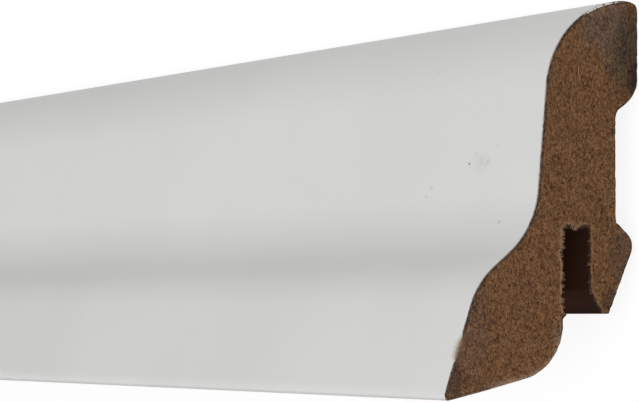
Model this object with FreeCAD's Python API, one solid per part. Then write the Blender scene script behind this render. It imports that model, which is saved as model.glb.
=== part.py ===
"""A length of skirting board, lying on its back as it would on a floor.

The board is a moulded fibreboard core with a white foil wrapped over its front. Seen from its end it has a
quarter-round head against the wall, a tall front face that leans out a little, an S-shaped ogee down to a thick
foot, and an underside that rises from the toe so that only the toe meets the flooring. The back has a bearing
pad at the top, a shallow recess, and a tongue that hangs down behind the foot. The groove between the tongue
and the foot takes the hooks of the wall clips.

Axes, in millimetres: X runs along the board, Y from its toe to its top edge, Z from the wall face out to the
room. The origin is in the middle of the board's footprint, at the level of the wall face. A corner of the section
is given by its distance out from the wall and its height up from the toe, as if the board were on the wall.
"""

import FreeCAD, Part

import math
import os
from dataclasses import dataclass

# The finished board, over its foil
LENGTH = 2400.0
HEIGHT = 40.0
DEPTH = 22.0

# The foil
FOIL_THICKNESS = 0.2
FOIL_RETURN = 8.5  # how far it runs back under the foot from the toe

# The head of the core
HEAD_WIDTH = 9.6  # at the top edge, if the front face ran on up to it
HEAD_RADIUS = 9.4
TOP_CORNER_RADIUS = 0.8

# The front face and the ogee
FACE_LEAN = 5.2  # degrees from upright
COVE_RADIUS = 9.4
OGEE_LEAN = 50.6  # degrees from upright
SHOULDER_HEIGHT = 11.5
SHOULDER_RADIUS = 7.8

# The foot
TOE_LEAN = 18.5  # degrees from upright
NOSE_HEIGHT = 0.85
NOSE_RADIUS = 2.5
TOE_RADIUS = 0.1
UNDERSIDE_RISE = 12.2  # degrees from level
FOOT_BACK = 8.75  # from the wall to the back of the foot, which is also the front wall of the groove
FOOT_CORNER_RADIUS = 5.6

# The clip groove, and the tongue behind it
GROOVE_WIDTH = 3.2
GROOVE_TOP = 17.1
GROOVE_CORNER_RADIUS = 0.3
TONGUE_BOTTOM = 8.5
TONGUE_TIP_WIDTH = 0.7
TONGUE_TIP_RADIUS = 0.25
BEVEL_HEIGHT = 2.4  # of the lead-in bevel inside the mouth of the groove
BEVEL_RADIUS = 0.3
TONGUE_BACK_LEAN = 23.0  # degrees from upright

# The back
RIDGE_SETBACK = 0.7  # the ridge of the tongue stays this far off the wall
RIDGE_LOW = 14.9
RIDGE_HEIGHT = 1.1
RIDGE_RADIUS = 1.5
RECESS_DEPTH = 2.6
RECESS_LOW_SLOPE = 43.0  # degrees from level
RECESS_LOW_RADIUS = 0.9
RECESS_TOP = 28.7
RECESS_TOP_RADIUS = 1.5
PAD_SLOPE = 35.5  # degrees from level
PAD_RADIUS = 3.2

# A rounding that has too short a straight beside it takes at most this share of that straight
ROUNDING_SHARE = 0.98


@dataclass
class Corner:
    """A corner of the section and the radius that it is rounded to."""

    out: float
    up: float
    radius: float


def tan(degrees):
    return math.tan(math.radians(degrees))


def front_corners():
    """The core's front, which the foil is wrapped over, from the top edge at the wall down to the toe."""
    top, nose = HEIGHT - FOIL_THICKNESS, DEPTH - FOIL_THICKNESS
    shoulder = nose - (SHOULDER_HEIGHT - NOSE_HEIGHT) * tan(TOE_LEAN)
    ogee_at_top = shoulder - (top - SHOULDER_HEIGHT) * tan(OGEE_LEAN)
    cove_drop = (HEAD_WIDTH - ogee_at_top) / (tan(OGEE_LEAN) - tan(FACE_LEAN))
    return [
        Corner(0.0, top, TOP_CORNER_RADIUS),
        Corner(HEAD_WIDTH, top, HEAD_RADIUS),
        Corner(HEAD_WIDTH + cove_drop * tan(FACE_LEAN), top - cove_drop, COVE_RADIUS),
        Corner(shoulder, SHOULDER_HEIGHT, SHOULDER_RADIUS),
        Corner(nose, NOSE_HEIGHT, NOSE_RADIUS),
        Corner(nose, FOIL_THICKNESS, TOE_RADIUS),
    ]


def back_corners(toe):
    """The core's bare side, from the back of the foot through the groove and up to the wall pad."""
    underside = toe.up + (toe.out - FOOT_BACK) * tan(UNDERSIDE_RISE)
    groove_back = FOOT_BACK - GROOVE_WIDTH
    tip_back = RIDGE_SETBACK + (RIDGE_LOW - TONGUE_BOTTOM) * tan(TONGUE_BACK_LEAN)
    ridge_top = RIDGE_LOW + RIDGE_HEIGHT
    return [
        Corner(FOOT_BACK, underside, FOOT_CORNER_RADIUS),
        Corner(FOOT_BACK, GROOVE_TOP, GROOVE_CORNER_RADIUS),
        Corner(groove_back, GROOVE_TOP, GROOVE_CORNER_RADIUS),
        Corner(groove_back, TONGUE_BOTTOM + BEVEL_HEIGHT, BEVEL_RADIUS),
        Corner(tip_back + TONGUE_TIP_WIDTH, TONGUE_BOTTOM, TONGUE_TIP_RADIUS),
        Corner(tip_back, TONGUE_BOTTOM, TONGUE_TIP_RADIUS),
        Corner(RIDGE_SETBACK, RIDGE_LOW, RIDGE_RADIUS),
        Corner(RIDGE_SETBACK, ridge_top, RIDGE_RADIUS),
        Corner(RECESS_DEPTH, ridge_top + (RECESS_DEPTH - RIDGE_SETBACK) * tan(RECESS_LOW_SLOPE), RECESS_LOW_RADIUS),
        Corner(RECESS_DEPTH, RECESS_TOP, RECESS_TOP_RADIUS),
        Corner(0.0, RECESS_TOP + RECESS_DEPTH * tan(PAD_SLOPE), PAD_RADIUS),
    ]


def rounded(corners):
    """Each corner of the closed section as its tangent arc and the straight that leads on to the next corner."""
    places = [FreeCAD.Vector(-LENGTH / 2, corner.up - HEIGHT / 2, corner.out) for corner in corners]
    count = len(places)
    steps = [places[(at + 1) % count] - places[at] for at in range(count)]
    ways = [FreeCAD.Vector(step).normalize() for step in steps]
    halves = [ways[at].getAngle(-ways[at - 1]) / 2 for at in range(count)]
    wanted = [corner.radius / math.tan(half) for corner, half in zip(corners, halves)]
    room = [
        min(1.0, ROUNDING_SHARE * steps[at].Length / (wanted[at] + wanted[(at + 1) % count])) for at in range(count)
    ]
    runs = [wanted[at] * min(room[at - 1], room[at]) for at in range(count)]

    arcs = []
    for at in range(count):
        here, run, half = places[at], runs[at], halves[at]
        crown = run * math.tan(half) * (1 / math.sin(half) - 1)
        inward = (ways[at] - ways[at - 1]).normalize()
        arcs.append(Part.Arc(here - ways[at - 1] * run, here + inward * crown, here + ways[at] * run))
    straights = [Part.LineSegment(arcs[at].EndPoint, arcs[(at + 1) % count].StartPoint) for at in range(count)]
    return list(zip(arcs, straights))


def board(section):
    return section.extrude(FreeCAD.Vector(LENGTH, 0, 0))


def core(outline):
    edges = [edge.toShape() for pair in outline for edge in pair]
    return board(Part.Face(Part.Wire(edges)))


def foil(covered):
    """The foil over the covered corners, from past the first one's rounding to a little way under the last."""
    (_, top_edge), *front, (toe, underside) = covered
    way = (underside.EndPoint - underside.StartPoint).normalize()
    wrapped_back = Part.LineSegment(underside.StartPoint, underside.StartPoint + way * FOIL_RETURN)
    path = [top_edge, *(edge for pair in front for edge in pair), toe, wrapped_back]
    glue_line = Part.Wire([edge.toShape() for edge in path])
    return board(glue_line.makeOffset2D(FOIL_THICKNESS, fill=True, openResult=True))


def main():
    os.makedirs("parts", exist_ok=True)
    front = front_corners()
    outline = rounded([*front, *back_corners(toe=front[-1])])
    core(outline).exportStep("parts/fibreboard_core.step")
    foil(outline[: len(front)]).exportStep("parts/white_foil.step")


main()
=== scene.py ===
"""A length of white skirting board, lying on its back with its moulded front up.

The core is moulded fibreboard, its front is wrapped in a white foil, and both ends are sawn square. X runs
along the board, Y from its toe to its top edge, and Z from the wall face out to the room. Sizes are in
millimetres and the meshes are made in metres. A place on the section is written as (out, up): how far out
from the wall it is, and how far up from the toe, as if the board were on the wall.
"""
import math
from collections import namedtuple

import bpy
import numpy as np
from mathutils import Matrix, Vector, noise
from mathutils.geometry import delaunay_2d_cdt


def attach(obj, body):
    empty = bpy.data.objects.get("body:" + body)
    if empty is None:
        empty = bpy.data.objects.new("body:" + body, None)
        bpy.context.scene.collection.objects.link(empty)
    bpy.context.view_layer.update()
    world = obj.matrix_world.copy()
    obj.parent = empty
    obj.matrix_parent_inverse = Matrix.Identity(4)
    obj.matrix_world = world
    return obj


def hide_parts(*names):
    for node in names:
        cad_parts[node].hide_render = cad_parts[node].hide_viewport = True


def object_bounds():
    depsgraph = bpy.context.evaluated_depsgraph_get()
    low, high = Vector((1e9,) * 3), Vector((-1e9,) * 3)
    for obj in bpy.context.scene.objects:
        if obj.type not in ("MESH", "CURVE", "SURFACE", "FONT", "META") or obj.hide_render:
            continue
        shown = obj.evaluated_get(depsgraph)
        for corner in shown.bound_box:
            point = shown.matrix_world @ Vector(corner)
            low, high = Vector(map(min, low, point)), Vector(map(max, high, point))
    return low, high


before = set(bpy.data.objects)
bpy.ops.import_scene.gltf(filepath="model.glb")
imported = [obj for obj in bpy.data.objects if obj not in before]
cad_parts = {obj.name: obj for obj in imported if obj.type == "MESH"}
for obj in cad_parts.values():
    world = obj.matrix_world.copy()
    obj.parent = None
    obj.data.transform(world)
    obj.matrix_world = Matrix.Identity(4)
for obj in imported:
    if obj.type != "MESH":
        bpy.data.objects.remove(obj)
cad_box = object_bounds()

MM = 0.001  # a millimetre in metres

# The finished board, over its foil, as the frame has it. The origin is halfway up the section.
LENGTH = round((cad_box[1].x - cad_box[0].x) / MM, 3)
HEIGHT = round(2 * cad_box[1].y / MM, 3)
DEPTH = round(cad_box[1].z / MM, 3)
RIGHT_END, LEFT_END = 1, -1
ENDS = ((RIGHT_END, "right"), (LEFT_END, "left"))

# The foil
FOIL_THICKNESS = 0.2
FOIL_RETURN = 8.5  # how far it runs back under the foot from the toe
PRESSED_TOP = 1.6  # how far from its free edges the foil thins out, where it is pressed into the board
PRESSED_UNDERSIDE = 8.0
PRESSED_THICKNESS = 0.03

# The head of the core
HEAD_WIDTH = 9.6
HEAD_RADIUS = 9.4
TOP_CORNER_RADIUS = 0.8

# The front face and the ogee. Leans are in degrees from upright.
FACE_LEAN = 5.2
COVE_RADIUS = 9.4
OGEE_LEAN = 50.6
SHOULDER_HEIGHT = 11.5
SHOULDER_RADIUS = 7.8

# The foot
TOE_LEAN = 18.5
NOSE_HEIGHT = 0.85
NOSE_RADIUS = 2.5
TOE_RADIUS = 0.1
UNDERSIDE_RISE = 12.2  # degrees from level
FOOT_BACK = 8.75
FOOT_CORNER_RADIUS = 5.6

# The clip groove, and the tongue behind it
GROOVE_WIDTH = 3.2
GROOVE_TOP = 17.1
GROOVE_CORNER_RADIUS = 0.3
TONGUE_BOTTOM = 8.5
TONGUE_TIP_WIDTH = 0.7
TONGUE_TIP_RADIUS = 0.25
BEVEL_HEIGHT = 2.4
BEVEL_RADIUS = 0.3
TONGUE_BACK_LEAN = 23.0

# The back. Slopes are in degrees from level.
RIDGE_SETBACK = 0.7
RIDGE_LOW = 14.9
RIDGE_HEIGHT = 1.1
RIDGE_RADIUS = 1.5
RECESS_DEPTH = 2.6
RECESS_LOW_SLOPE = 43.0
RECESS_LOW_RADIUS = 0.9
RECESS_TOP = 28.7
RECESS_TOP_RADIUS = 1.5
PAD_SLOPE = 35.5
PAD_RADIUS = 3.2

# The numbers of some of the section's corners. A stretch of the outline goes by the corner that it follows.
SHOULDER, NOSE, TOE, FOOT, GROOVE_FRONT, GROOVE_BACK, BEVEL, TONGUE_TIP = range(3, 11)

# How finely the meshes follow the section, and how their rows spread out from the sawn ends
OUTLINE_PITCH = 0.15
FEWEST_ARC_POINTS = 5
FIRST_ROW = 0.14
ROW_GROWTH = 1.42
ROWS_AT_AN_END = 19
ROW_GAP = 0.02  # the least gap between two rows beside a deep tear
ROUNDING_SHARE = 0.98  # the most of a straight that the roundings beside it may take
SHARP_ANGLE = 30.0  # degrees from which the edge between two faces stays sharp

# The points of a sawn face: a triangular grid, how far it is shaken and how far it stays from the face's
# edge, both in steps of the grid
SAWN_PITCH = 0.15
GRID_SEED = 5
GRID_JITTER = 0.28
GRID_MARGIN = 0.55

# The sawn ends
SAW_DEPTH = 0.1  # how far a saw's tear lies under the end of the board, on average
SAW_ROUGHNESS = 0.07
SAW_WAVES = 0.03
PIT_DEPTH = 0.22
PIT_LEVEL = 0.38  # how high the noise is where a pit starts, and how much higher at its full depth
PIT_RISE = 0.4
SHALLOWEST_TEAR = 0.045
DEEPEST_TEAR = 0.34
LAYER_FADE = 0.9  # how fast the finer layers of the noise fade, and how much finer each one is
LAYER_STEP = 2.1

# The broken edge of a sawn end
CHIP_DEPTH = 0.16  # how far the sawn edge is broken back beside the groove, and elsewhere
PLAIN_CHIP_DEPTH = 0.06
CHIP_LEVEL = 0.3  # the share of CHIP_DEPTH that is broken back all along the groove
NOTCH_RAGGEDNESS = 0.5
CHIPPED_ROWS = 2  # how many rows of points it takes for the chips to fade out

# The nicks in the foil's cut edge: everywhere, below the shoulder of the ogee, and here and there
NICK_DEPTH = 0.02
LOW_NICK_DEPTH = 0.12
FINE_NICK_DEPTH = 0.22
NICKED_ROWS = 6  # how many rows of points it takes for the nicks to fade out

# The torn spot on the foil's cut edge
TORN_LOW, TORN_HIGH = 3.7, 6.6
TORN_REACH = 1.35
TORN_RAGGEDNESS = 0.35
TORN_SLOPE = 1.1
TORN_DEPTH = 0.16
TORN_SHARE = 0.8  # the most of its thickness that the foil loses

# The shapes of the loose fibres, for a fibre one unit long
FIBRE_BENDS = ((0.02, 0.02), (0.09, 0.03), (-0.05, 0.04), (-0.12, 0.03))  # each shape's bend and rise
FIBRE_TIP = 0.2  # how thick a tip is beside the middle
SHORTEST_FIBRE, LONGEST_FIBRE = 0.5, 1.6
FIBRE_ROOM = 1.2  # how many lengths from the face's edge the lying fibres start to be shorter
FIBRE_TILT = 0.05  # how far a lying fibre may point out of the face

# How the loose fibres grow, by the names of their trees' inputs. Thickness is half a fibre's width as a
# share of its length, Spread how far it points aside, and Clear how far it stays from the edge, in
# millimetres.
SHORT_FIBRES = {
    "Length": 0.27 * MM,
    "Thickness": 0.16,
    "Segments": 2,
    "Spread": 0.5,
    "Clear": 0.1,
    "Density": 27.0 / MM**2,
}
LONG_FIBRES = {
    "Length": 1.1 * MM,
    "Thickness": 0.035,
    "Segments": 6,
    "Spread": 0.9,
    "Clear": 2.0,
    "Density": 0.03 / MM**2,
}
FUZZ = {"Length": 0.34 * MM, "Thickness": 0.06, "Segments": 3, "Spread": 0.8, "Spacing": 0.025 * MM}
SHORT_SEED = 3  # to each seed, the end's 1 or -1 is added
LONG_SEED = 8

# Where the fibres are rooted, and how much fuzz the groove's edge has apart from its frayed spots
FIBRE_LIFT = 0.02  # how far out of the torn face the lying fibres are
FUZZ_SINK = 0.03  # how far the roots of the fuzz are under the face, and in from its edge
FUZZ_INSET = 0.05
PLAIN_FUZZ = 0.25
TUFT_LEVEL = 0.3
TUFT_CONTRAST = 1.2
FUZZ_START = 0.6  # how far above the tip of the tongue it starts
MOUTH_MARGIN = 0.2  # how far below that tip the groove's painted shade still reaches

# The pale fringe under the foot: where it ends going out and up, and over what length it fades there
FRINGE_OUT, FRINGE_OUT_FADE = 18.0, 2.0
FRINGE_UP, FRINGE_UP_FADE = 7.6, 2.5

# Where the faces lie on the maps that their colours are baked on: the sides of each strip, the lower left
# corner of each sawn face and its size, and the room round the fibres
CORE_SIDES_ON_MAP = (0.0, 0.3)
SAWN_FACES_ON_MAP = ((0.31, 0.005), (0.655, 0.005))
SAWN_SIZE_ON_MAP = (0.34, 0.34 * HEIGHT / DEPTH)
FOIL_FACE_ON_MAP = (0.0, 0.75)
FOIL_BACK_ON_MAP = (0.77, 0.93)
FOIL_CUTS_ON_MAP = ((0.94, 0.96), (0.97, 0.99))
MAP_MARGIN = 0.01

Corner = namedtuple("Corner", "out up radius")
Stretch = namedtuple("Stretch", "places normals")  # points along one arc or straight of the section
Sawn = namedtuple("Sawn", "section triangles depths nearest from_edge")
Mark = namedtuple("Mark", "from_end up reach strength tint")
Clean = namedtuple("Clean", "out up reach tint")
Fray = namedtuple("Fray", "out up reach chip fuzz")
SmudgeAndShade = namedtuple("SmudgeAndShade", "out up reach strength dark pale")

# Where the saw tore the edge of the groove: chips, which are notches of some depth or, where negative,
# burrs, and fuzz, which is tufts of fibre from 0, none, to 1, dense
GROOVE_FRAYS = (
    Fray(8.75, 16.85, 0.4, 0.0, 1.0),
    Fray(8.1, 17.1, 0.4, 0.24, 0.0),
    Fray(7.2, 17.1, 0.4, -0.05, 1.0),
    Fray(6.1, 17.1, 0.4, 0.5, 0.15),
    Fray(8.75, 15.9, 0.6, 0.0, 0.9),
    Fray(8.75, 14.4, 0.8, 0.2, 0.6),
    Fray(8.75, 12.2, 0.9, 0.05, 0.3),
    Fray(8.75, 9.9, 0.7, 0.16, 0.6),
    Fray(8.75, 8.45, 0.3, -0.4, 0.0),
    Fray(5.5, 11.0, 0.5, 0.05, 0.4),
    Fray(5.55, 15.0, 1.0, 0.03, 0.2),
)


# Small helpers for sizes, colours, meshes and nodes


def tan(degrees):
    return math.tan(math.radians(degrees))


def fading(values, end, over):
    """1 for low values, falling to 0 at end over the given length."""
    return np.clip((end - values) / over, 0, 1)


def colour(red, green, blue):
    """A colour given on the 0 to 255 scale, as the linear colour that a shader takes."""

    def linear(value):
        share = value / 255
        return share / 12.92 if share <= 0.04045 else ((share + 0.055) / 1.055) ** 2.4

    return (linear(red), linear(green), linear(blue), 1.0)


def new_object(name, data):
    made = bpy.data.objects.new(name, data)
    bpy.context.scene.collection.objects.link(made)
    return made


def keep_values(mesh, name, values, kind="FLOAT"):
    """Keeps a number or a direction for each point of a mesh."""
    data = mesh.attributes.new(name, kind, "POINT").data
    data.foreach_set("vector" if kind == "FLOAT_VECTOR" else "value", values.astype(np.float32).ravel())


def put_on_map(mesh, places):
    """Gives each corner of the faces its place on the map that the colours are baked on."""
    mesh.uv_layers.new(name="OFBake").uv.foreach_set("vector", places.astype(np.float32).ravel())


def connect(tree, value, socket):
    """Gives an input a value or another node's output."""
    if isinstance(value, bpy.types.NodeSocket):
        tree.links.new(value, socket)
    else:
        socket.default_value = value


def add(tree, kind, inputs=None, **settings):
    """A new node. Each of its inputs is given by name or number, with a value or another node's output."""
    made = tree.nodes.new(kind)
    for name, value in settings.items():
        setattr(made, name, value)
    for name, value in (inputs or {}).items():
        connect(tree, value, made.inputs[name])
    return made


def node_group(name, kind, inputs, outputs):
    """A group of nodes, what its inputs give inside it, and what its outputs take there."""
    tree = bpy.data.node_groups.new(name, kind)
    for direction, sockets in (("INPUT", inputs), ("OUTPUT", outputs)):
        for socket, of_kind in sockets.items():
            tree.interface.new_socket(socket, in_out=direction, socket_type=f"NodeSocket{of_kind}")
    return tree, tree.nodes.new("NodeGroupInput").outputs, tree.nodes.new("NodeGroupOutput").inputs


def maths(tree, operation, first, second=0.0):
    return add(tree, "ShaderNodeMath", {0: first, 1: second}, operation=operation).outputs[0]


def times(tree, first, second):
    return maths(tree, "MULTIPLY", first, second)


def vector_maths(tree, operation, first, second=(0.0, 0.0, 0.0)):
    return add(tree, "ShaderNodeVectorMath", {0: first, 1: second}, operation=operation).outputs


def between(tree, value, low, high, to_low=0.0, to_high=1.0):
    """value eased from to_low to to_high as it goes from low to high."""
    inputs = {0: value, 1: low, 2: high, 3: to_low, 4: to_high}
    return add(tree, "ShaderNodeMapRange", inputs, interpolation_type="SMOOTHSTEP").outputs[0]


def blended(tree, share, first, second):
    inputs = {0: share, 6: first, 7: second}
    return add(tree, "ShaderNodeMix", inputs, data_type="RGBA", blend_type="MIX").outputs[2]


def laid_over(tree, tone, tint, mask, strength):
    """A tone with a tint over it, as strong as the mask times strength."""
    return blended(tree, times(tree, mask, strength), tone, tint)


def noisy(tree, where, scale, detail=2.0, roughness=0.5, distortion=0.0):
    inputs = {"Scale": scale, "Detail": detail, "Roughness": roughness, "Distortion": distortion}
    return add(tree, "ShaderNodeTexNoise", {"Vector": where, **inputs}).outputs["Fac"]


# The section


def front_corners():
    """The core's front, which the foil is wrapped over, from the top edge at the wall down to the toe."""
    top, nose = HEIGHT - FOIL_THICKNESS, DEPTH - FOIL_THICKNESS
    shoulder = nose - (SHOULDER_HEIGHT - NOSE_HEIGHT) * tan(TOE_LEAN)
    ogee_at_top = shoulder - (top - SHOULDER_HEIGHT) * tan(OGEE_LEAN)
    cove_drop = (HEAD_WIDTH - ogee_at_top) / (tan(OGEE_LEAN) - tan(FACE_LEAN))
    return [
        Corner(0.0, top, TOP_CORNER_RADIUS),
        Corner(HEAD_WIDTH, top, HEAD_RADIUS),
        Corner(HEAD_WIDTH + cove_drop * tan(FACE_LEAN), top - cove_drop, COVE_RADIUS),
        Corner(shoulder, SHOULDER_HEIGHT, SHOULDER_RADIUS),
        Corner(nose, NOSE_HEIGHT, NOSE_RADIUS),
        Corner(nose, FOIL_THICKNESS, TOE_RADIUS),
    ]


def back_corners(toe):
    """The core's bare side, from the back of the foot through the groove and up to the wall pad."""
    underside = toe.up + (toe.out - FOOT_BACK) * tan(UNDERSIDE_RISE)
    groove_back = FOOT_BACK - GROOVE_WIDTH
    tip_back = RIDGE_SETBACK + (RIDGE_LOW - TONGUE_BOTTOM) * tan(TONGUE_BACK_LEAN)
    ridge_top = RIDGE_LOW + RIDGE_HEIGHT
    recess_low = ridge_top + (RECESS_DEPTH - RIDGE_SETBACK) * tan(RECESS_LOW_SLOPE)
    return [
        Corner(FOOT_BACK, underside, FOOT_CORNER_RADIUS),
        Corner(FOOT_BACK, GROOVE_TOP, GROOVE_CORNER_RADIUS),
        Corner(groove_back, GROOVE_TOP, GROOVE_CORNER_RADIUS),
        Corner(groove_back, TONGUE_BOTTOM + BEVEL_HEIGHT, BEVEL_RADIUS),
        Corner(tip_back + TONGUE_TIP_WIDTH, TONGUE_BOTTOM, TONGUE_TIP_RADIUS),
        Corner(tip_back, TONGUE_BOTTOM, TONGUE_TIP_RADIUS),
        Corner(RIDGE_SETBACK, RIDGE_LOW, RIDGE_RADIUS),
        Corner(RIDGE_SETBACK, ridge_top, RIDGE_RADIUS),
        Corner(RECESS_DEPTH, recess_low, RECESS_LOW_RADIUS),
        Corner(RECESS_DEPTH, RECESS_TOP, RECESS_TOP_RADIUS),
        Corner(0.0, RECESS_TOP + RECESS_DEPTH * tan(PAD_SLOPE), PAD_RADIUS),
    ]


def left_of(ways):
    return np.stack([-ways[..., 1], ways[..., 0]], -1)


def straight(start, end):
    """Points from start up to, but not at, end."""
    length = np.linalg.norm(end - start)
    shares = np.arange(max(1, math.ceil(length / OUTLINE_PITCH)))[:, None]
    places = start + (end - start) * shares / len(shares)
    return Stretch(places, np.repeat(left_of((end - start) / length)[None], len(shares), 0))


def arc(start, way, turn, radius):
    """Points round a bend that leaves start along way and turns left by turn, or right if it is negative."""
    count = max(FEWEST_ARC_POINTS, math.ceil(abs(turn) * radius / OUTLINE_PITCH))
    angles = math.atan2(way[1], way[0]) + turn * np.arange(count) / count
    normals = left_of(np.stack([np.cos(angles), np.sin(angles)], -1))
    return Stretch(start + math.copysign(radius, turn) * (left_of(way) - normals), normals)


def rounded(corners):
    """Each corner of the closed section as its arc and the straight that leads on to the next corner."""
    places = np.array([(corner.out, corner.up) for corner in corners])
    steps = np.roll(places, -1, 0) - places
    lengths = np.linalg.norm(steps, axis=1)
    ways = steps / lengths[:, None]
    before = np.roll(ways, 1, 0)
    turns = np.arctan2(before[:, 0] * ways[:, 1] - before[:, 1] * ways[:, 0], (before * ways).sum(1))
    wanted = np.array([corner.radius for corner in corners]) * np.tan(abs(turns) / 2)
    room = np.minimum(1.0, ROUNDING_SHARE * lengths / (wanted + np.roll(wanted, -1)))
    runs = wanted * np.minimum(room, np.roll(room, 1))
    starts = places - before * runs[:, None]
    ends = places + ways * runs[:, None]
    radii = runs / np.tan(abs(turns) / 2)
    arcs = [arc(*bend) for bend in zip(starts, before, turns, radii)]
    straights = [straight(*line) for line in zip(ends, np.roll(starts, -1, 0))]
    return list(zip(arcs, straights))


def joined(stretches):
    return Stretch(*(np.concatenate(parts) for parts in zip(*stretches)))


def per_point(pairs, shares):
    """A value for each point of the section, from the number of the corner that it follows."""
    lengths = [sum(len(stretch.places) for stretch in pair) for pair in pairs]
    return np.repeat([shares.get(number, 0.0) for number in range(len(pairs))], lengths)


def foil_path(covered):
    """The line between core and foil, from the top edge to a little way back under the foot."""
    (_, top_edge), *front, (toe, underside) = covered
    way = -left_of(underside.normals[0])
    start = underside.places[0]
    wrapped_back = straight(start, start + way * FOIL_RETURN)
    end = Stretch((start + way * FOIL_RETURN)[None], wrapped_back.normals[:1])
    return joined([top_edge, *(stretch for pair in front for stretch in pair), toe, wrapped_back, end])


# Rows of points along the board, and the faces between them


def rows_from_end():
    """How far from a sawn end its rows of points are. They start close together and spread out."""
    shares = (ROW_GROWTH ** np.arange(ROWS_AT_AN_END) - 1) / (ROW_GROWTH - 1)
    return FIRST_ROW * shares


def in_frame(end, depth, section):
    """Places on the section that lie some millimetres in from an end, as places in the frame, in metres."""
    along = end * (LENGTH / 2 - depth)
    return np.stack([along, section[..., 1] - HEIGHT / 2, section[..., 0]], -1) * MM


def tube_faces(rows, ring, closed=True):
    """The corners of the faces between rows of points, as (row, point) pairs before the ring is closed."""
    row, point = np.meshgrid(np.arange(rows - 1), np.arange(ring if closed else ring - 1), indexing="ij")
    row, point = row.ravel(), point.ravel()
    corners = [(row, point), (row, point + 1), (row + 1, point + 1), (row + 1, point)]
    return np.stack([np.stack(corner, -1) for corner in corners], 1)


def numbered(corners, ring):
    """Each (row, point) pair as the number of its point, once the ring is closed."""
    return corners[..., 0] * ring + corners[..., 1] % ring


def strip_map(corners, rows, ring, sides):
    """Where the faces of a tube lie on its map: in an upright strip, with the ring going up it."""
    left, right = sides
    shares = corners / (rows - 1, ring)
    return np.stack([left + (right - left) * shares[..., 0], shares[..., 1]], -1).reshape(-1, 2)


def object_from(name, rows, groups, finishes, on_map, values):
    """A piece from its rows of points and its groups of faces. finishes has a material for each group,
    on_map the places of the faces' corners on the map, and values what is kept for each point."""
    mesh = bpy.data.meshes.new(name)
    faces = [face for group in groups for face in group.tolist()]
    mesh.from_pydata(np.concatenate(rows).tolist(), [], faces)
    for material in finishes:
        mesh.materials.append(material)
    numbers = np.repeat(np.arange(len(groups)), [len(group) for group in groups])
    mesh.polygons.foreach_set("material_index", numbers.astype(np.int32))
    put_on_map(mesh, np.concatenate(on_map))
    for key, found in values.items():
        keep_values(mesh, key, found)
    mesh.shade_smooth()
    mesh.set_sharp_from_angle(angle=math.radians(SHARP_ANGLE))
    return new_object(name, mesh)


# The sawn ends


def rough(section, scale, seed, octaves=3, stretch=1.0):
    """Noise from about -1 to 1 at each place on the section, drawn out along the height by stretch."""
    found = [
        noise.fractal(Vector((out * scale, up * scale / stretch, seed)), LAYER_FADE, LAYER_STEP, octaves)
        for out, up in section.reshape(-1, 2)
    ]
    return np.array(found).reshape(section.shape[:-1])


def tear(section, end):
    """How deep the sawn face lies under the true end of the board, at each place on the section."""
    seed = 10.0 * end
    strands = rough(section, scale=2.6, seed=seed, octaves=4, stretch=2.4)
    waves = rough(section, scale=0.35, seed=seed + 3, octaves=2)
    pits = np.clip(rough(section, scale=1.9, seed=seed + 7, octaves=2, stretch=1.5) - PIT_LEVEL, 0, 1)
    depth = SAW_DEPTH + SAW_ROUGHNESS * strands + SAW_WAVES * waves + PIT_DEPTH * pits / PIT_RISE
    return np.clip(depth, SHALLOWEST_TEAR, DEEPEST_TEAR)


def inside(places, outline):
    """Whether each place is within the closed outline, by counting the sides that a level ray crosses."""
    found = np.zeros(len(places), bool)
    for (x0, y0), (x1, y1) in zip(outline, np.roll(outline, -1, 0)):
        if y0 != y1:
            level = (places[:, 1] >= min(y0, y1)) & (places[:, 1] < max(y0, y1))
            found ^= level & (places[:, 0] < x0 + (places[:, 1] - y0) * (x1 - x0) / (y1 - y0))
    return found


def nearest_of(places, outline):
    """The number of the outline's point that is nearest to each place, and how far away it is."""
    distances = np.full(len(places), np.inf)
    numbers = np.zeros(len(places), int)
    for number, point in enumerate(outline):
        distance = np.hypot(*(places - point).T)
        closer = distance < distances
        distances[closer] = distance[closer]
        numbers[closer] = number
    return numbers, distances


def sawn_points(outline):
    """Places inside the outline for the sawn face's points, on a jittered triangular grid."""
    rng = np.random.default_rng(GRID_SEED)
    step = np.array([SAWN_PITCH, SAWN_PITCH * math.sqrt(3) / 2])
    low, high = outline.min(0), outline.max(0)
    across, rows = np.ceil((high - low) / step).astype(int) + 1
    grid = np.stack(np.meshgrid(np.arange(across), np.arange(rows)), -1).reshape(-1, 2).astype(float)
    grid[:, 0] += 0.5 * (grid[:, 1] % 2)
    places = low + (grid + rng.uniform(-GRID_JITTER, GRID_JITTER, grid.shape)) * step
    _, distances = nearest_of(places, outline)
    return places[inside(places, outline) & (distances > GRID_MARGIN * SAWN_PITCH)]


def sawn_triangles(outline):
    """Triangles over the section, and the places of all their points. The outline's points come first."""
    places = np.concatenate([outline, sawn_points(outline)])
    count = len(outline)
    sides = [(at, (at + 1) % count) for at in range(count)]
    flat = [Vector((up, out)) for out, up in places]
    inside_only, same_point = 1, 1e-7
    _, _, faces, origins, _, _ = delaunay_2d_cdt(flat, sides, [], inside_only, same_point)
    source = [origin[0] for origin in origins]
    return places, np.array([[source[v] for v in face] for face in faces])


def fray_share(places, kind):
    """The depth of the notches, or the density of the tufts, at each place beside the groove."""
    total = np.zeros(len(places))
    for fray in GROOVE_FRAYS:
        distance = np.hypot(places[:, 0] - fray.out, places[:, 1] - fray.up)
        total += getattr(fray, kind) * np.exp(-((distance / fray.reach) ** 2))
    return total


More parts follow.
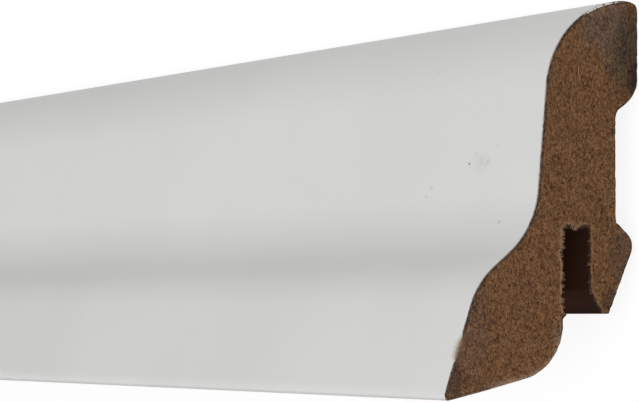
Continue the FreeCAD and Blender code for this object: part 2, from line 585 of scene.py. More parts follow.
def chipped(outline, frayed):
    """The section's edge as the saw left it: broken back here and there, most of all beside the groove."""
    ragged = rough(outline.places, scale=1.6, seed=41.0)
    chips = PLAIN_CHIP_DEPTH * np.clip(ragged, 0, 1) + CHIP_DEPTH * frayed * (CHIP_LEVEL + ragged)
    chips += fray_share(outline.places, "chip") * (1 + NOTCH_RAGGEDNESS * ragged)
    return outline.places - outline.normals * chips[:, None]


def sawn_section(outline, frayed):
    """The points and triangles of a sawn face, how deep each point is torn at each end, the outline's point
    that is nearest to it, and how far it is from the face's edge."""
    edge = chipped(outline, frayed)
    section, triangles = sawn_triangles(edge)
    depths = {end: tear(section, end) for end, _ in ENDS}
    return Sawn(section, triangles, depths, *nearest_of(section, edge))


def edge_marks(outline, pairs):
    """Where the section's edge is in the groove, frayed by the saw, fringed, or beside the torn foil."""
    out, up = outline.places.T
    within = dict.fromkeys((FOOT, GROOVE_FRONT, GROOVE_BACK, BEVEL, TONGUE_TIP), 1.0)
    frayed = {FOOT: 1.0, GROOVE_FRONT: 0.8, GROOVE_BACK: 0.45, BEVEL: 0.5}
    fringe = fading(out, FRINGE_OUT, FRINGE_OUT_FADE) * fading(up, FRINGE_UP, FRINGE_UP_FADE)
    return {
        # In the groove and round the tongue's tip: where the milled sides get painted shade
        "groove_shade_mask": per_point(pairs, within) * (up > TONGUE_BOTTOM - MOUTH_MARGIN),
        "frayed": per_point(pairs, frayed) * (up > TONGUE_BOTTOM),
        "fringed": per_point(pairs, {TOE: 1.0, FOOT: 1.0}) * fringe,
        "torn_edge": per_point(pairs, {SHOULDER: 1.0, NOSE: 1.0}) * ((up > TORN_LOW) & (up < TORN_HIGH)),
    }


def fuzz_share(outline, marks):
    """How fuzzy each point of the section's edge is, from 0 to 1."""
    tufted = rough(outline.places, scale=1.3, seed=51.0, octaves=2)
    tufts = np.clip(TUFT_LEVEL + TUFT_CONTRAST * tufted, 0, 1)
    up = outline.places[:, 1]
    on_groove = (up < GROOVE_TOP - GROOVE_CORNER_RADIUS) * (up > TONGUE_BOTTOM + FUZZ_START)
    plain = PLAIN_FUZZ * marks["frayed"] * on_groove
    return np.clip(fray_share(outline.places, "fuzz") + plain * tufts, 0, 1)


# The two pieces of the board


def core_rows(outline, sawn):
    """The rows of points round the core's milled sides, from its left end to its right."""
    count = len(outline.places)
    edge = sawn.section[:count]
    rows = []
    for end in (LEFT_END, RIGHT_END):
        sunk = sawn.depths[end][:count]
        half = []
        for number, at in enumerate(rows_from_end()):
            kept = min(1.0, number / CHIPPED_ROWS)
            depth = np.where(number == 0, sunk, np.maximum(at, sunk + ROW_GAP * number))
            half.append(in_frame(end, depth, outline.places * kept + edge * (1 - kept)))
        rows += half if end == LEFT_END else half[::-1]
    return rows


def core_piece(outline, sawn, marks, finishes):
    """The fibreboard core as one closed body: its milled sides, and a torn face at each sawn end."""
    count = len(outline.places)
    rows = core_rows(outline, sawn)
    tube = len(rows) * count
    tears = {end: sawn.depths[end][count:] for end, _ in ENDS}
    inner = [in_frame(end, tears[end], sawn.section[count:]) for end in tears]

    sides = tube_faces(len(rows), count)
    right = sawn.triangles + tube - count
    left = np.where(sawn.triangles < count, sawn.triangles, right + len(inner[0]))[:, ::-1]
    on_map = [strip_map(sides, len(rows), count, CORE_SIDES_ON_MAP)]
    for corners, place in zip((sawn.triangles, sawn.triangles[:, ::-1]), SAWN_FACES_ON_MAP):
        on_map.append(sawn.section[corners.ravel()] / (DEPTH, HEIGHT) * SAWN_SIZE_ON_MAP + place)

    def over_all(on_section):
        within = on_section[count:]
        return np.concatenate([np.tile(on_section[:count], len(rows)), within, within])

    values = {name: over_all(shares[sawn.nearest]) for name, shares in marks.items()}
    values["from_edge"] = over_all(sawn.from_edge)
    values["tear"] = np.concatenate([np.zeros(tube), *tears.values()])
    groups = [numbered(sides, count), right, left]
    made = object_from("fibreboard_body", [*rows, *inner], groups, finishes, on_map, values)
    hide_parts("fibreboard_core")
    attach(made, "root")


def torn_share(path, distance):
    """How much of the white layer is torn off along the foil's path, this far from the sawn end."""
    up = path.places[:, 1]
    middle, half = (TORN_LOW + TORN_HIGH) / 2, (TORN_HIGH - TORN_LOW) / 2
    faces_room = path.normals[:, 0] > 0.5
    ragged = TORN_RAGGEDNESS * rough(path.places, scale=3.1, seed=21.0)
    reach = TORN_REACH * np.sqrt(np.clip(1 - ((up - middle) / half) ** 2, 0, 1)) * (1 + ragged)
    return fading(distance, reach, TORN_SLOPE) * faces_room


def nicks(path, end):
    """How far the foil's sawn edge is nicked back at each point of its path."""
    fine = np.clip(rough(path.places, scale=2.3, seed=31.0 + end), 0, 1)
    low = fading(path.places[:, 1], SHOULDER_HEIGHT, over=2.0)
    return NICK_DEPTH + LOW_NICK_DEPTH * low + FINE_NICK_DEPTH * fine


def foil_thickness(path):
    """The foil's thickness at each point of its path. It thins out towards its two free edges."""
    steps = np.hypot(*np.diff(path.places, axis=0).T)
    run = np.concatenate([[0.0], np.cumsum(steps)])
    free = np.minimum(run / PRESSED_TOP, (run[-1] - run) / PRESSED_UNDERSIDE).clip(0, 1)
    return PRESSED_THICKNESS + (FOIL_THICKNESS - PRESSED_THICKNESS) * np.sin(free * math.pi / 2)


def foil_rows(path):
    """The foil's rows of points, from its left end to its right, and how torn each point is. A row goes
    along the white face and back along the glued side."""
    distances = rows_from_end()
    nicked = distances[NICKED_ROWS]
    full = foil_thickness(path)
    rows, torn = [], []
    for end in (LEFT_END, RIGHT_END):
        nick = nicks(path, end)
        for at in distances if end == LEFT_END else distances[::-1]:
            eased = nick + at * (1 - nick / nicked) if at < nicked else np.full(len(nick), at)
            share = torn_share(path, at) if end == RIGHT_END else np.zeros(len(nick))
            thickness = full - np.minimum(TORN_DEPTH, TORN_SHARE * full) * share
            outer = path.places + path.normals * thickness[:, None]
            white, glued = in_frame(end, eased, outer), in_frame(end, eased, path.places)
            rows.append(np.concatenate([white, glued[::-1]]))
            torn.append(np.concatenate([share, share[::-1]]))
    return rows, torn


def foil_piece(path, finishes):
    """The foil as one thin wrapped strip, nicked along its sawn edges and torn at one spot."""
    rows, torn = foil_rows(path)
    count = len(path.places)
    ring = 2 * count
    sides = tube_faces(len(rows), ring)
    in_sight = sides[:, 0, 1] < count - 1
    white, hidden = sides[in_sight], sides[~in_sight]
    here = np.arange(count - 1)
    across = np.stack([here, ring - 1 - here, ring - 2 - here, here + 1], -1)
    cut = np.concatenate([across[:, ::-1] + (len(rows) - 1) * ring, across])
    strip = tube_faces(2, count, closed=False)
    on_map = [
        strip_map(white, len(rows), count - 1, FOIL_FACE_ON_MAP),
        strip_map(hidden - (0, count - 1), len(rows), count + 1, FOIL_BACK_ON_MAP),
        strip_map(strip[:, [2, 1, 0, 3]], 2, count, FOIL_CUTS_ON_MAP[0]),
        strip_map(strip[:, [0, 3, 2, 1]], 2, count, FOIL_CUTS_ON_MAP[1]),
    ]
    groups = [numbered(white, ring), numbered(hidden, ring), cut]
    made = object_from("foil_wrap", rows, groups, finishes, on_map, {"torn": np.concatenate(torn)})
    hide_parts("white_foil")
    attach(made, "root")


# Loose fibres


def combined(tree, x, y, z):
    return add(tree, "ShaderNodeCombineXYZ", {0: x, 1: y, 2: z}).outputs[0]


def kept_value(tree, name, kind="FLOAT"):
    return add(tree, "GeometryNodeInputNamedAttribute", {"Name": name}, data_type=kind).outputs[0]


def random_number(tree, low, high, seed):
    inputs = {2: low, 3: high, "Seed": seed}
    return add(tree, "FunctionNodeRandomValue", inputs, data_type="FLOAT").outputs[1]


def random_way(tree, reach, seed):
    """A direction at random, up to reach either way along each axis."""
    opposite = vector_maths(tree, "MULTIPLY", reach, (-1.0, -1.0, -1.0))[0]
    inputs = {0: opposite, 1: reach, "Seed": seed}
    return add(tree, "FunctionNodeRandomValue", inputs, data_type="FLOAT_VECTOR").outputs[0]


def fibre_shapes(tree, thickness, segments):
    """Tapered fibres one unit long, each bent its own way. thickness is their half width."""
    profile = add(tree, "GeometryNodeCurvePrimitiveCircle", {"Resolution": 3, "Radius": 1.0})
    along = add(tree, "GeometryNodeSplineParameter").outputs["Factor"]
    hump = times(tree, along, maths(tree, "SUBTRACT", 1.0, along))
    taper = maths(tree, "ADD", times(tree, hump, 4 * (1 - FIBRE_TIP)), FIBRE_TIP)
    width = times(tree, taper, thickness)
    shapes = add(tree, "GeometryNodeGeometryToInstance")
    for bend, rise in FIBRE_BENDS:
        ends = {"Start": (0, 0, 0), "Middle": (0.5, bend, 2 * rise), "End": (1.0, -bend / 2, 0)}
        curve = add(tree, "GeometryNodeCurveQuadraticBezier", {"Resolution": segments, **ends}).outputs[0]
        inputs = {"Curve": curve, "Profile Curve": profile.outputs[0], "Scale": width, "Fill Caps": True}
        connect(tree, add(tree, "GeometryNodeCurveToMesh", inputs).outputs[0], shapes.inputs[0])
    return shapes.outputs[0]


def planted(tree, given, points, pointing, normal, share=1.0):
    """A fibre on each point, in its own tone, pointing one way and flat on the face with that normal."""
    turned = add(tree, "FunctionNodeAlignRotationToVector", {"Vector": pointing}, axis="X").outputs[0]
    rolled = {"Rotation": turned, "Vector": normal}
    laid = add(tree, "FunctionNodeAlignRotationToVector", rolled, axis="Z", pivot_axis="X").outputs[0]
    length = times(tree, given["Length"], random_number(tree, SHORTEST_FIBRE, LONGEST_FIBRE, seed=11))
    inputs = {
        "Points": points,
        "Instance": fibre_shapes(tree, given["Thickness"], given["Segments"]),
        "Pick Instance": True,
        "Rotation": laid,
        "Scale": times(tree, length, share),
    }
    made = add(tree, "GeometryNodeInstanceOnPoints", inputs).outputs[0]
    tone = {"Geometry": made, "Name": "tone", "Value": random_number(tree, 0.0, 1.0, seed=12)}
    kind = {"data_type": "FLOAT", "domain": "INSTANCE"}
    made = add(tree, "GeometryNodeStoreNamedAttribute", tone, **kind).outputs[0]
    made = add(tree, "GeometryNodeRealizeInstances", {"Geometry": made}).outputs[0]
    made = add(tree, "GeometryNodeSetShadeSmooth", {"Geometry": made}).outputs[0]
    return add(tree, "GeometryNodeSetMaterial", {"Geometry": made, "Material": given["Finish"]}).outputs[0]


def fibre_tree(name, extra):
    """A tree of nodes that grows fibres on a surface. extra has the inputs that only this tree needs."""
    sizes = {"Length": "Float", "Thickness": "Float", "Segments": "Int"}
    inputs = {"Surface": "Geometry", **sizes, **extra, "Finish": "Material"}
    return node_group(name, "GeometryNodeTree", inputs, {"Fibres": "Geometry"})


def lying_fibres_tree():
    """Fibres scattered over a face, most of them along the height of the board, as the panel was pressed."""
    extra = {"Density": "Float", "Spread": "Float", "Clear": "Float", "Seed": "Int"}
    tree, given, made = fibre_tree("lying fibres", extra)
    from_edge = kept_value(tree, "from_edge")
    inputs = {
        "Mesh": given["Surface"],
        "Selection": maths(tree, "GREATER_THAN", from_edge, given["Clear"]),
        "Density": given["Density"],
        "Seed": given["Seed"],
    }
    scattered = add(tree, "GeometryNodeDistributePointsOnFaces", inputs).outputs
    room = times(tree, given["Length"], FIBRE_ROOM / MM)
    share = maths(tree, "MINIMUM", maths(tree, "DIVIDE", from_edge, room), 1.0)
    pointing = random_way(tree, combined(tree, FIBRE_TILT, 1.0, given["Spread"]), seed=13)
    fibres = planted(tree, given, scattered["Points"], pointing, scattered["Normal"], share)
    connect(tree, fibres, made["Fibres"])
    return tree


def fuzz_tree():
    """Fibres that stand out from an arris as its "outward" value points, dense where "fuzz" is high."""
    tree, given, made = fibre_tree("fuzz along an arris", {"Spacing": "Float", "Spread": "Float"})
    line = add(tree, "GeometryNodeMeshToCurve", {"Mesh": given["Surface"]}).outputs[0]
    inputs = {"Curve": line, "Length": given["Spacing"]}
    spaced = add(tree, "GeometryNodeCurveToPoints", inputs, mode="LENGTH").outputs[0]
    bare = maths(tree, "LESS_THAN", kept_value(tree, "fuzz"), random_number(tree, 0.0, 1.0, seed=14))
    thinned = {"Geometry": spaced, "Selection": bare}
    points = add(tree, "GeometryNodeDeleteGeometry", thinned, domain="POINT").outputs[0]
    reach = combined(tree, given["Spread"], given["Spread"], given["Spread"])
    outward = kept_value(tree, "outward", "FLOAT_VECTOR")
    pointing = vector_maths(tree, "ADD", outward, random_way(tree, reach, seed=15))[0]
    connect(tree, planted(tree, given, points, pointing, normal=(1.0, 0.0, 0.0)), made["Fibres"])
    return tree


def grown(name, source, tree, values):
    """What a tree of nodes grows on a mesh, as a piece of its own, kept within the ends of the board."""
    carrier = new_object(name + "_carrier", source)
    modifier = carrier.modifiers.new("fibres", "NODES")
    modifier.node_group = tree
    for item in tree.interface.items_tree:
        if item.in_out == "INPUT" and item.name in values:
            modifier[item.identifier] = values[item.name]
    evaluated = carrier.evaluated_get(bpy.context.evaluated_depsgraph_get())
    mesh = bpy.data.meshes.new_from_object(evaluated)
    bpy.data.objects.remove(carrier)
    places = np.empty(len(mesh.vertices) * 3, np.float32)
    mesh.vertices.foreach_get("co", places)
    places = places.reshape(-1, 3).clip(np.array(cad_box[0]), np.array(cad_box[1]))
    mesh.vertices.foreach_set("co", places.ravel())
    corners = np.empty(len(mesh.loops), np.int32)
    mesh.loops.foreach_get("vertex_index", corners)
    on_section = (places[:, 2:0:-1] / MM + (0.0, HEIGHT / 2)) / (DEPTH, HEIGHT)
    put_on_map(mesh, MAP_MARGIN + (1 - 2 * MAP_MARGIN) * on_section[corners])
    made = new_object(name, mesh)
    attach(made, "root")


def sawn_mesh(sawn, end):
    """The torn face that the lying fibres grow on."""
    mesh = bpy.data.meshes.new("sawn face")
    places = in_frame(end, sawn.depths[end] - FIBRE_LIFT, sawn.section)
    triangles = sawn.triangles if end == RIGHT_END else sawn.triangles[:, ::-1]
    mesh.from_pydata(places.tolist(), [], triangles.tolist())
    keep_values(mesh, "from_edge", sawn.from_edge)
    return mesh


def arris_mesh(outline, sawn, fuzz, end):
    """The edge of a sawn face as a closed line that knows which way its fibres point."""
    mesh = bpy.data.meshes.new("arris")
    count = len(outline.places)
    depth = sawn.depths[end][:count] + FUZZ_SINK
    places = in_frame(end, depth, sawn.section[:count] - FUZZ_INSET * outline.normals)
    mesh.from_pydata(places.tolist(), [(at, (at + 1) % count) for at in range(count)], [])
    outward = np.stack([np.zeros(count), outline.normals[:, 1], outline.normals[:, 0]], -1)
    keep_values(mesh, "outward", outward, "FLOAT_VECTOR")
    keep_values(mesh, "fuzz", fuzz)
    return mesh


def grow_fibres(outline, sawn, fuzz, finishes):
    """The short and the long fibres that lie on each sawn face, and the fuzz round its edge."""
    lying, fuzzy = lying_fibres_tree(), fuzz_tree()
    for end, side in ENDS:
        face = sawn_mesh(sawn, end)
        short = {**SHORT_FIBRES, "Seed": SHORT_SEED + end, "Finish": finishes[end]}
        grown(f"sawn_fibres_{side}", face, lying, short)
        long = {**LONG_FIBRES, "Seed": LONG_SEED + end, "Finish": finishes["long"]}
        grown(f"long_fibres_{side}", face, lying, long)
        edge = arris_mesh(outline, sawn, fuzz, end)
        grown(f"arris_fibres_{side}", edge, fuzzy, {**FUZZ, "Finish": finishes["fuzz"]})


# What the finishes are made of


def soft_patch_group():
    """A mask that is 1 in the middle of a patch and fades out to 0 at its ragged edge."""
    inputs = {"Vector": "Vector", "Centre": "Vector", "Reach": "Vector", "Ragged": "Float"}
    tree, given, made = node_group("soft patch", "ShaderNodeTree", inputs, {"Mask": "Float"})
    offset = vector_maths(tree, "SUBTRACT", given["Vector"], given["Centre"])[0]
    shares = vector_maths(tree, "DIVIDE", offset, given["Reach"])[0]
    distance = vector_maths(tree, "LENGTH", shares)["Value"]
    wander = maths(tree, "SUBTRACT", noisy(tree, shares, scale=1.6, detail=3.0), 0.5)
    pushed = maths(tree, "ADD", distance, times(tree, wander, given["Ragged"]))
    connect(tree, between(tree, pushed, 0.45, 1.1, 1.0, 0.0), made["Mask"])
    return tree


def mottle_group():
    """The mottle of pressed wood fibre: patches, strands drawn out along the height, and dark pits."""
    inputs = {"Vector": "Vector", "Stretch": "Vector", "Fineness": "Float"}
    outputs = {"Strands": "Float", "Patches": "Float", "Pits": "Float"}
    tree, given, made = node_group("fibre mottle", "ShaderNodeTree", inputs, outputs)
    drawn = vector_maths(tree, "DIVIDE", given["Vector"], given["Stretch"])[0]
    strands = noisy(tree, drawn, given["Fineness"], detail=4.0, roughness=0.62, distortion=0.6)
    patches = noisy(tree, given["Vector"], times(tree, given["Fineness"], 0.22), detail=3.0, roughness=0.55)
    pits = noisy(tree, drawn, times(tree, given["Fineness"], 0.8), detail=1.0, distortion=0.3)
    connect(tree, between(tree, strands, 0.28, 0.72), made["Strands"])
    connect(tree, between(tree, patches, 0.3, 0.7), made["Patches"])
    connect(tree, between(tree, pits, 0.66, 0.76), made["Pits"])
    return tree


def patched(tree, groups, where, tone, tint, strength, place, reach, ragged):
    """A tone with a soft, ragged patch of a tint over it. Its place is (along the board, up, out)."""
    along, up, out = place
    inputs = {"Centre": (along, up - HEIGHT / 2, out), "Reach": reach, "Ragged": ragged}
    patch = add(tree, "ShaderNodeGroup", {"Vector": where, **inputs}, node_tree=groups["patch"])
    return laid_over(tree, tone, tint, patch.outputs["Mask"], strength)


def place_mottle(tree, groups, where, stretch, fineness):
    inputs = {"Vector": where, "Stretch": stretch, "Fineness": fineness}
    return add(tree, "ShaderNodeGroup", inputs, node_tree=groups["mottle"]).outputs


def new_material(name):
    """A material, its node tree, its shader, and the object's own coordinates in millimetres."""
    made = bpy.data.materials.new(name)
    made.use_nodes = True
    tree = made.node_tree
    shader = tree.nodes["Principled BSDF"]
    where = add(tree, "ShaderNodeTexCoord").outputs["Object"]
    scaled = add(tree, "ShaderNodeVectorMath", {0: where, 3: 1 / MM}, operation="SCALE").outputs[0]
    return made, tree, shader, scaled


def painted(tree, shader, tone, roughness, gloss):
    """Gives a shader its colour, its roughness and the strength of its reflections."""
    connect(tree, tone, shader.inputs["Base Color"])
    connect(tree, roughness, shader.inputs["Roughness"])
    connect(tree, gloss, shader.inputs["Specular IOR Level"])


def bumped(tree, shader, height, depth):
    inputs = {"Height": height, "Distance": depth * MM, "Strength": 1.0}
    connect(tree, add(tree, "ShaderNodeBump", inputs).outputs[0], shader.inputs["Normal"])


def attribute(tree, name):
    return add(tree, "ShaderNodeAttribute", attribute_name=name).outputs["Fac"]


def coordinate(tree, where, axis):
    return add(tree, "ShaderNodeSeparateXYZ", {0: where}).outputs[axis]


def from_sawn_end(tree, where):
    """How far a place is from the nearer sawn end."""
    return maths(tree, "SUBTRACT", LENGTH / 2, maths(tree, "ABSOLUTE", coordinate(tree, where, "X")))


# The finishes

DARK_BROWN = colour(55, 31, 12)
PALE_BROWN = colour(143, 104, 71)
# The dark pits of the grain, also used as painted shade in the deepest tears
PIT_AND_SHADE_BROWN = colour(44, 25, 12)
BARED_BROWN = colour(112, 94, 76)

# The grey film on the head of the handled end, the grime on its back and on the lower part of its pad, the
# dull ridge and tip of the tongue, the dull front of the foot, its dark toe, its pale back with a dark rim,
# and painted shade on the burr at the mouth of the groove. Each reaches so far out and up from its middle,
# and is mottled from its dark colour to its pale one.
SMUDGES_AND_SHADE = (
    SmudgeAndShade(3.4, 37.3, (3.7, 3.3), 0.8, (68, 52, 41), (120, 100, 85)),
    SmudgeAndShade(1.3, 34.2, (2.8, 3.6), 0.8, (50, 38, 28), (106, 88, 70)),
    SmudgeAndShade(0.8, 35.6, (1.9, 5.0), 0.75, (34, 24, 16), (90, 71, 54)),
    SmudgeAndShade(0.2, 31.9, (0.9, 2.6), 0.85, (22, 15, 10), (58, 44, 32)),
    SmudgeAndShade(1.6, 31.0, (1.4, 2.0), 0.35, (36, 22, 10), (96, 70, 44)),
    SmudgeAndShade(1.6, 14.0, (1.9, 4.5), 0.5, (58, 42, 34), (104, 85, 71)),
    SmudgeAndShade(3.2, 9.6, (1.0, 2.2), 0.75, (50, 36, 25), (92, 73, 57)),
    SmudgeAndShade(19.2, 7.5, (2.6, 6.5), 0.35, (64, 45, 36), (116, 92, 82)),
    SmudgeAndShade(21.1, 2.2, (1.2, 3.0), 0.65, (42, 30, 24), (80, 61, 50)),
    SmudgeAndShade(9.25, 6.7, (0.6, 1.7), 0.5, (86, 62, 44), (150, 120, 96)),
    SmudgeAndShade(8.8, 6.8, (0.2, 1.6), 0.8, (20, 14, 10), (52, 40, 30)),
    # Painted shade: the burr at the mouth of the groove, darkened nearly to black
    SmudgeAndShade(8.38, 8.3, (0.5, 0.5), 0.95, (20, 13, 9), (40, 28, 20)),
)
SMUDGE_AND_SHADE_LENGTH = 30.0  # how far in from the sawn end the smudges and the burr's painted shade reach

# The few faint marks on the white face. Each reaches so far along the board and up from its middle.
FOIL_MARKS = (
    Mark(14.72, 23.97, (0.24, 0.14), 0.95, (84, 84, 78)),
    Mark(12.0, 24.0, (2.2, 1.3), 0.16, (178, 179, 172)),
    Mark(10.8, 24.1, (0.5, 0.32), 0.3, (166, 167, 160)),
    Mark(11.3, 23.75, (0.5, 0.3), 0.24, (170, 171, 164)),
    Mark(12.2, 24.2, (0.5, 0.55), 0.26, (168, 168, 162)),
    Mark(13.4, 25.0, (0.4, 0.28), 0.28, (170, 170, 168)),
    Mark(14.5, 23.65, (0.35, 0.2), 0.2, (172, 172, 168)),
    Mark(9.2, 25.7, (0.3, 0.22), 0.3, (172, 172, 172)),
    Mark(22.6, 21.75, (0.5, 0.26), 0.32, (166, 166, 164)),
    Mark(23.6, 20.85, (0.5, 0.24), 0.3, (166, 166, 164)),
    Mark(23.6, 34.1, (0.4, 0.3), 0.25, (176, 176, 176)),
    Mark(6.5, 17.75, (0.34, 0.26), 0.5, (158, 158, 156)),
    Mark(14.0, 18.15, (0.25, 0.2), 0.22, (172, 172, 170)),
)
MARK_DEPTH = 100.0  # far enough for a mark to reach through the foil wherever it is

# Patches of the foil's cut edge with no dust, at both ends. Each reaches so far out and up from its middle.
CLEAN_CUTS = (
    Clean(4.6, 39.4, (3.4, 1.4), (196, 192, 188)),
    Clean(14.2, 1.6, (3.4, 1.6), (160, 142, 126)),
    Clean(20.7, 5.15, (1.2, 1.5), (128, 108, 84)),
    Clean(19.0, 0.5, (2.6, 1.1), (112, 92, 80)),
)
CLEAN_LENGTH = 4 * LENGTH  # far enough to reach both ends


def smudged_and_shaded(tree, groups, where, tone, grain):
    """The tone of the sawn end with the smudges, and the painted shade on the burr, over it."""
    for smudge_and_shade in SMUDGES_AND_SHADE:
        film = blended(tree, grain, colour(*smudge_and_shade.dark), colour(*smudge_and_shade.pale))
        place = (LENGTH / 2, smudge_and_shade.up, smudge_and_shade.out)
        reach = (SMUDGE_AND_SHADE_LENGTH, smudge_and_shade.reach[1], smudge_and_shade.reach[0])
        tone = patched(tree, groups, where, tone, film, smudge_and_shade.strength, place, reach, ragged=0.8)
    return tone


def edged(tree, tone, strands):
    """The rim of the sawn face: a thin dark line, but pale by the foot, the groove and the torn foil."""
    names = ("from_edge", "frayed", "fringed", "torn_edge")
    from_edge, frayed, fringed, torn = (attribute(tree, name) for name in names)
    ragged = maths(tree, "ADD", from_edge, times(tree, strands, 0.14))
    tone = laid_over(tree, tone, colour(150, 116, 89), between(tree, ragged, 0.14, 0.42, 0.7, 0.0), frayed)
    tone = laid_over(tree, tone, colour(138, 115, 96), between(tree, ragged, 0.2, 0.7, 0.8, 0.0), fringed)
    tone = laid_over(tree, tone, colour(110, 92, 76), between(tree, ragged, 0.05, 0.25, 0.5, 0.0), torn)
    whole = maths(tree, "SUBTRACT", 1.0, maths(tree, "MAXIMUM", frayed, torn))
    thin = maths(tree, "ADD", ragged, times(tree, fringed, 0.1))
    return laid_over(tree, tone, colour(40, 29, 22), between(tree, thin, 0.1, 0.24, 0.8, 0.0), whole)


def sawn_fibreboard(name, groups, handled_and_shaded=False):
    """The torn end of the core. The handled end has a grey smudge on its head, a dull foot, and painted
    shade on the burr at the mouth of the groove.
    """
    made, tree, shader, where = new_material(name)
    mottle = place_mottle(tree, groups, where, stretch=(1.0, 1.5, 1.0), fineness=4.6)
    tone = blended(tree, mottle["Strands"], DARK_BROWN, PALE_BROWN)
    hue = blended(tree, mottle["Patches"], colour(97, 70, 40), colour(107, 68, 42))
    tone = blended(tree, 0.27, tone, hue)
    if handled_and_shaded:
        tone = smudged_and_shaded(tree, groups, where, tone, mottle["Strands"])
    tone = laid_over(tree, tone, PIT_AND_SHADE_BROWN, mottle["Pits"], 0.8)
    # Painted shade: the deepest tears are darker
    tone = laid_over(tree, tone, PIT_AND_SHADE_BROWN, between(tree, attribute(tree, "tear"), 0.14, 0.3), 0.7)
    painted(tree, shader, edged(tree, tone, mottle["Strands"]), roughness=0.92, gloss=0.2)
    bumped(tree, shader, mottle["Strands"], depth=0.06)
    return made


def milled_fibreboard(groups):
    """The milled sides of the core: smooth, mottled along the board, with a faint ripple. The groove has
    painted shade, darkest at its mouth and near the sawn ends."""
    made, tree, shader, where = new_material("milled fibreboard")
    mottle = place_mottle(tree, groups, where, stretch=(4.0, 1.0, 1.0), fineness=2.6)
    tone = blended(tree, mottle["Strands"], colour(103, 76, 55), colour(121, 92, 69))
    tone = laid_over(tree, tone, colour(70, 49, 34), mottle["Pits"], 0.3)
    # Painted shade in the groove: dark near the sawn ends and lighter deeper in, near black at the tongue's
    # tip, and a little weaker in the first 0.7 mm of an end
    from_end = from_sawn_end(tree, where)
    painted_groove_shade = blended(tree, between(tree, from_end, 0.5, 9.0), colour(37, 16, 7), colour(82, 46, 27))
    up = maths(tree, "ADD", coordinate(tree, where, "Y"), HEIGHT / 2)
    tip = between(tree, up, TONGUE_BOTTOM, TONGUE_BOTTOM + 1.2, 0.85, 0.0)
    painted_groove_shade = blended(tree, tip, painted_groove_shade, colour(22, 10, 5))
    shade = between(tree, from_end, 0.0, 0.7, 0.75, 0.97)
    tone = laid_over(tree, tone, painted_groove_shade, shade, attribute(tree, "groove_shade_mask"))
    painted(tree, shader, tone, roughness=0.9, gloss=0.1)
    ripple = {"Vector": where, "Scale": 0.32, "Distortion": 0.4, "Detail": 1.0}
    wave = add(tree, "ShaderNodeTexWave", ripple, wave_type="BANDS", bands_direction="X").outputs["Fac"]
    height = maths(tree, "ADD", times(tree, wave, 0.25), mottle["Strands"])
    bumped(tree, shader, height, depth=0.02)
    return made


def white_foil(groups):
    """The satin white face of the foil, with its few marks, the torn spot's bare paper and painted shade
    along the toe.
    """
    made, tree, shader, where = new_material("white foil")
    broad = noisy(tree, where, scale=0.035, detail=3.0)
    tone = blended(tree, between(tree, broad, 0.3, 0.7), colour(206, 207, 205), colour(210, 210, 208))
    for mark in FOIL_MARKS:
        place = (LENGTH / 2 - mark.from_end, mark.up, 0.0)
        reach = (*mark.reach, MARK_DEPTH)
        tint = colour(*mark.tint)
        tone = patched(tree, groups, where, tone, tint, mark.strength, place, reach, ragged=0.7)
    # Painted shade along the toe's edge, where the face turns under
    height = coordinate(tree, where, "Y")
    toe_shade = between(tree, height, -HEIGHT / 2 + 0.05, -HEIGHT / 2 + 0.4, 0.45, 0.0)
    tone = blended(tree, toe_shade, tone, colour(150, 150, 148))
    torn = attribute(tree, "torn")
    grain = noisy(tree, where, scale=5.0, detail=3.0)
    paper = blended(tree, grain, colour(160, 149, 132), colour(196, 190, 174))
    tone = blended(tree, between(tree, torn, 0.0, 0.65), tone, paper)
    frayed = times(tree, noisy(tree, where, scale=3.0), -0.3)
    ragged = maths(tree, "ADD", from_sawn_end(tree, where), frayed)
    tone = blended(tree, between(tree, ragged, 0.0, 0.22, 0.85, 0.0), tone, colour(128, 112, 102))
    tone = blended(tree, between(tree, torn, 0.55, 1.0), tone, BARED_BROWN)
    sheen = maths(tree, "ADD", times(tree, noisy(tree, where, scale=0.8, detail=3.0), 0.12), 0.42)
    painted(tree, shader, tone, roughness=sheen, gloss=0.35)
    bumped(tree, shader, noisy(tree, where, scale=2.2), depth=0.01)
    return made


def foil_back(name, groups, dark, pale, clean=()):
    """The foil's inner side or its cut edges, with glue and dust on them, but clean in some patches."""
    made, tree, shader, where = new_material(name)
    dust = between(tree, noisy(tree, where, scale=2.8, detail=3.0), 0.3, 0.7)
    tone = blended(tree, dust, dark, pale)
    for patch in clean:
        place = (0.0, patch.up, patch.out)
        reach = (CLEAN_LENGTH, patch.reach[1], patch.reach[0])
        specks = between(tree, noisy(tree, where, scale=4.2, detail=1.0), 0.36, 0.5)
        tone = patched(tree, groups, where, tone, colour(*patch.tint), specks, place, reach, ragged=0.3)
    painted(tree, shader, tone, roughness=0.85, gloss=0.1)
    return made


def fibre_finish(name, groups, dark, pale, handled_and_shaded=False):
    """Loose fibres, each in its own tone from dark to pale, smudged and given painted shade like the face
    that they lie on.
    """
    made, tree, shader, where = new_material(name)
    grain = attribute(tree, "tone")
    tone = blended(tree, grain, dark, pale)
    if handled_and_shaded:
        tone = smudged_and_shaded(tree, groups, where, tone, grain)
    painted(tree, shader, tone, roughness=0.8, gloss=0.2)
    return made


def core_finishes(groups):
    """For the core's groups of faces: its milled sides, its right end and its left end."""
    return [
        milled_fibreboard(groups),
        sawn_fibreboard("handled and shaded sawn fibreboard", groups, handled_and_shaded=True),
        sawn_fibreboard("sawn fibreboard", groups),
    ]


def foil_finishes(groups):
    """For the foil's groups of faces: its white side, its glued side and its cut edges."""
    return [
        white_foil(groups),
        foil_back("foil back", groups, colour(118, 104, 86), colour(158, 146, 126)),
        foil_back("foil cut edge", groups, colour(34, 24, 20), colour(96, 80, 70), CLEAN_CUTS),
    ]


